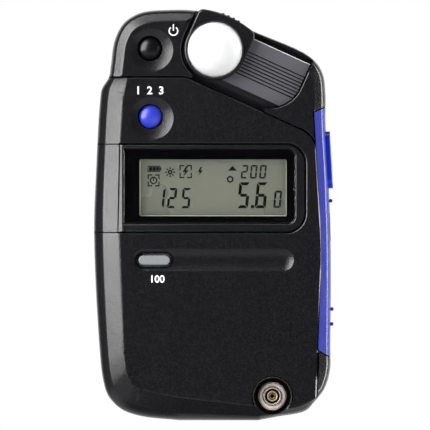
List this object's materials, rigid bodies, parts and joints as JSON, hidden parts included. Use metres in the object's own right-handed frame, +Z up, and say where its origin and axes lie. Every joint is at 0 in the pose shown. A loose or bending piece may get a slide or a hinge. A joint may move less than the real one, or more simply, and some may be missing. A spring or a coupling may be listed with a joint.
{
  "type": "light meter",
  "caption": "Handheld exposure meter with a sliding translucent diffuser dome, liquid crystal display, push buttons, side rocker and flash sync socket.",
  "frame": {"origin": "middle of the body's base flat, the lowest face that it stands on", "axes": "+X to the right of someone facing the display, +Y from the display to the back, +Z up"},
  "size_m": [0.0639, 0.0276, 0.1097],
  "materials": {
    "moulded_black": "fine-grained moulded ABS, semi-matt",
    "satin_blue": "satin blue moulded plastic",
    "key_blue": "satin blue key cap",
    "deep_blue": "semi-gloss deep blue key",
    "key_grey": "matt grey key cap",
    "gloss_black": "polished black key cap",
    "milk_white": "translucent white diffusing acrylic",
    "window_clear": "clear acrylic window with a black printed border",
    "display_grey": "liquid crystal panel with a grey-green rear film",
    "tray_white": "plain white moulded carrier",
    "strip_rubber": "layered conductive silicone strip",
    "board_green": "glass-fibre board with green solder mask",
    "chip_black": "black moulded epoxy package",
    "switch_metal": "stamped steel switch shell",
    "lens_glass": "clear polished lens",
    "cell_wrap": "plain printed metal jacket",
    "nickel": "bright nickel plate",
    "gold": "gold-flashed brass contact",
    "insulator": "white insulating plug",
    "steel": "plain ground steel rod",
    "screw_steel": "black-oxidised steel screw"
  },
  "bodies": {
    "meter_body": {"front_cover": "moulded_black", "bezel_frame": "moulded_black", "head_housing": "moulded_black", "rear_case": "moulded_black", "side_cover": "satin_blue", "strap_bar": "steel", "rocker_pin": "steel", "window_lens": "window_clear", "display_panel": "display_grey", "display_tray": "tray_white", "upper_contact_strip": "strip_rubber", "lower_contact_strip": "strip_rubber", "main_board": "board_green", "processor": "chip_black", "power_switch": "switch_metal", "mode_switch": "switch_metal", "film_speed_switch": "switch_metal", "measure_switch": "switch_metal", "up_switch": "switch_metal", "down_switch": "switch_metal", "lens_tube": "moulded_black", "reflected_lens": "lens_glass", "photodiode": "chip_black", "battery_cell": "cell_wrap", "battery_spring": "nickel", "spring_plate": "nickel", "positive_contact": "nickel", "sync_socket_barrel": "nickel", "sync_socket_nut": "nickel", "sync_socket_sleeve": "nickel", "sync_socket_contact": "gold", "sync_socket_insulator": "insulator", "case_screw_1": "screw_steel", "case_screw_2": "screw_steel", "case_screw_3": "screw_steel", "case_screw_4": "screw_steel", "board_screw_1": "screw_steel", "board_screw_2": "screw_steel"},
    "diffuser_head": {"slider_carriage": "moulded_black", "diffuser_dome": "milk_white", "dome_ring": "moulded_black"},
    "power_key": {"power_button": "gloss_black"},
    "mode_key": {"mode_button": "key_blue"},
    "film_speed_key": {"film_speed_button": "key_grey"},
    "measure_key": {"measure_button": "deep_blue"},
    "rocker": {"value_rocker": "moulded_black"},
    "battery_lid": {"battery_cover": "moulded_black"}
  },
  "joints": [
    {"name": "diffuser_slide", "type": "slide", "parent": "meter_body", "child": "diffuser_head", "axis": [0.91, 0, -0.4147], "range_m": [0, 0.0161]},
    {"name": "power_press", "type": "slide", "parent": "meter_body", "child": "power_key", "axis": [0, 1, 0], "range_m": [0, 0.0005], "stiffness_N_per_m": 1500},
    {"name": "mode_press", "type": "slide", "parent": "meter_body", "child": "mode_key", "axis": [0, 1, 0], "range_m": [0, 0.0005], "stiffness_N_per_m": 1500},
    {"name": "film_speed_press", "type": "slide", "parent": "meter_body", "child": "film_speed_key", "axis": [0, 1, 0], "range_m": [0, 0.0005], "stiffness_N_per_m": 1500},
    {"name": "measure_press", "type": "slide", "parent": "meter_body", "child": "measure_key", "axis": [-1, 0, 0], "range_m": [0, 0.0007], "stiffness_N_per_m": 1500},
    {"name": "value_rock", "type": "hinge", "parent": "meter_body", "child": "rocker", "pos_m": [0.02825, -0.0034, 0.0516], "axis": [0, 1, 0], "range_deg": [-4, 4], "stiffness_Nm_per_rad": 0.05},
    {"name": "battery_lid_slide", "type": "slide", "parent": "meter_body", "child": "battery_lid", "axis": [-1, 0, 0], "range_m": [0, 0.059]}
  ]
}
